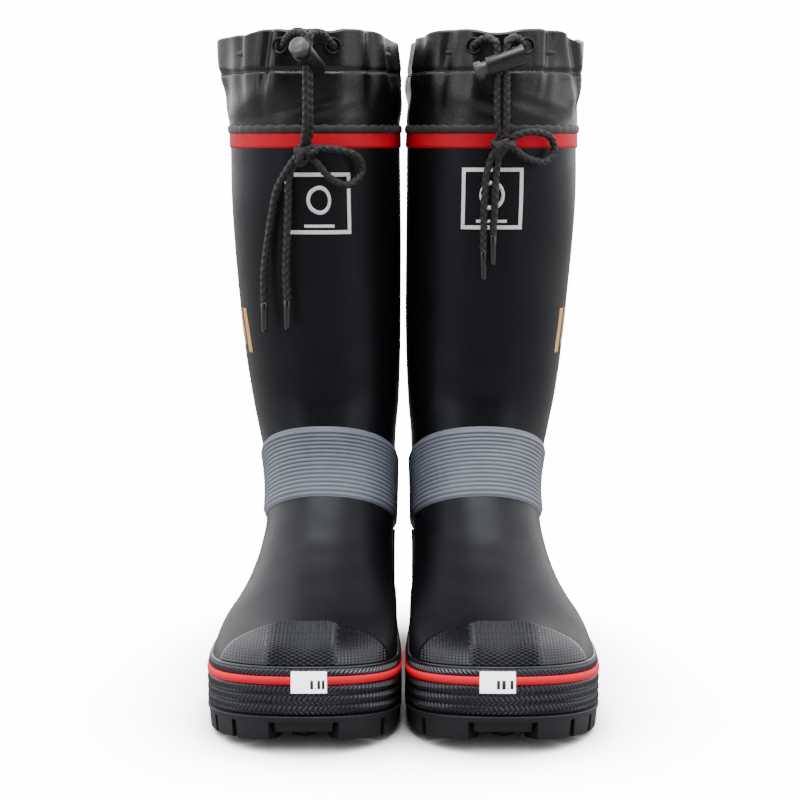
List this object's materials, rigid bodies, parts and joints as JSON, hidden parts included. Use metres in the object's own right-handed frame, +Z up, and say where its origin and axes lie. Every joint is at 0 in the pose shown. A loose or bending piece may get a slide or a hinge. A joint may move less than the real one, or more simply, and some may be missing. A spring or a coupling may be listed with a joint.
{
  "type": "fire boots",
  "caption": "Pair of knee-high black rubber fire boots with grey ribbed ankle bands, red bands and gathered cuffs closed by a drawcord and spring cord lock",
  "frame": {"origin": "on the floor, under the middle of the pair's box", "axes": "+X is the wearer's left, toward the left boot; -Y is toward the toes; +Z is up the legs"},
  "size_m": [0.2296, 0.3003, 0.405],
  "materials": {
    "sole_rubber": "moulded rubber, matt",
    "foxing_rubber": "patterned rubber strip, satin",
    "shell_rubber": "black rubber, satin",
    "guard_rubber": "knurled black rubber",
    "red_rubber": "red rubber, satin",
    "brown_rubber": "red-brown rubber edge",
    "grey_rubber": "blue-grey rubber with raised ribs",
    "steel": "pressed steel",
    "spring_steel": "drawn spring wire",
    "dark_metal": "blackened metal",
    "board": "pressed fibre board",
    "foam_fabric": "foam with a knitted top cloth",
    "lining_fabric": "knitted textile lining",
    "cuff_fabric": "coated fabric with soft folds",
    "binding_fabric": "sewn binding strip",
    "cord_braid": "braided black cord",
    "black_plastic": "smooth black plastic",
    "lock_plastic": "moulded black plastic",
    "button_plastic": "moulded grey plastic",
    "sticker": "white label",
    "white_print": "white print",
    "orange_print": "orange print"
  },
  "bodies": {
    "left_boot": {"left_outsole": "sole_rubber", "left_steel_midsole": "steel", "left_insole_board": "board", "left_footbed": "foam_fabric", "left_toe_cap": "steel", "left_lower_foxing": "foxing_rubber", "left_foot_stripe": "red_rubber", "left_upper_foxing": "foxing_rubber", "left_toe_guard": "guard_rubber", "left_vamp": "shell_rubber", "left_heel_counter": "shell_rubber", "left_heel_piping": "brown_rubber", "left_ankle_band": "grey_rubber", "left_leg": "shell_rubber", "left_lining": "lining_fabric", "left_top_band": "red_rubber", "left_cuff_binding": "binding_fabric", "left_cuff": "cuff_fabric", "left_eyelets": "dark_metal", "left_channel_cord": "cord_braid", "left_inner_cord": "cord_braid", "left_outer_cord": "cord_braid", "left_knot": "cord_braid", "left_aglets": "black_plastic", "left_size_sticker": "sticker", "left_emblem": "white_print", "left_side_mark": "orange_print"},
    "right_boot": {"right_outsole": "sole_rubber", "right_steel_midsole": "steel", "right_insole_board": "board", "right_footbed": "foam_fabric", "right_toe_cap": "steel", "right_lower_foxing": "foxing_rubber", "right_foot_stripe": "red_rubber", "right_upper_foxing": "foxing_rubber", "right_toe_guard": "guard_rubber", "right_vamp": "shell_rubber", "right_heel_counter": "shell_rubber", "right_heel_piping": "brown_rubber", "right_ankle_band": "grey_rubber", "right_leg": "shell_rubber", "right_lining": "lining_fabric", "right_top_band": "red_rubber", "right_cuff_binding": "binding_fabric", "right_cuff": "cuff_fabric", "right_eyelets": "dark_metal", "right_channel_cord": "cord_braid", "right_inner_cord": "cord_braid", "right_outer_cord": "cord_braid", "right_knot": "cord_braid", "right_aglets": "black_plastic", "right_size_sticker": "sticker", "right_emblem": "white_print", "right_side_mark": "orange_print"},
    "left_lock": {"left_lock_barrel": "lock_plastic", "left_lock_spring": "spring_steel"},
    "left_button": {"left_lock_plunger": "button_plastic"},
    "right_lock": {"right_lock_barrel": "lock_plastic", "right_lock_spring": "spring_steel"},
    "right_button": {"right_lock_plunger": "button_plastic"}
  },
  "joints": [
    {"name": "right_boot_lift", "type": "slide", "parent": "left_boot", "child": "right_boot", "axis": [0, 0, 1], "range_m": [0, 0.45]},
    {"name": "left_lock_slide", "type": "slide", "parent": "left_boot", "child": "left_lock", "axis": [0, 0, -1], "range_m": [0, 0.022]},
    {"name": "left_lock_press", "type": "slide", "parent": "left_lock", "child": "left_button", "axis": [0.9397, 0, 0.342], "range_m": [0, 0.003], "stiffness_N_per_m": 400, "deforming": ["left_lock_spring"]},
    {"name": "right_lock_slide", "type": "slide", "parent": "right_boot", "child": "right_lock", "axis": [0, 0, -1], "range_m": [0, 0.02]},
    {"name": "right_lock_press", "type": "slide", "parent": "right_lock", "child": "right_button", "axis": [0.3125, 0.8585, -0.4067], "range_m": [0, 0.003], "stiffness_N_per_m": 400, "deforming": ["right_lock_spring"]}
  ]
}
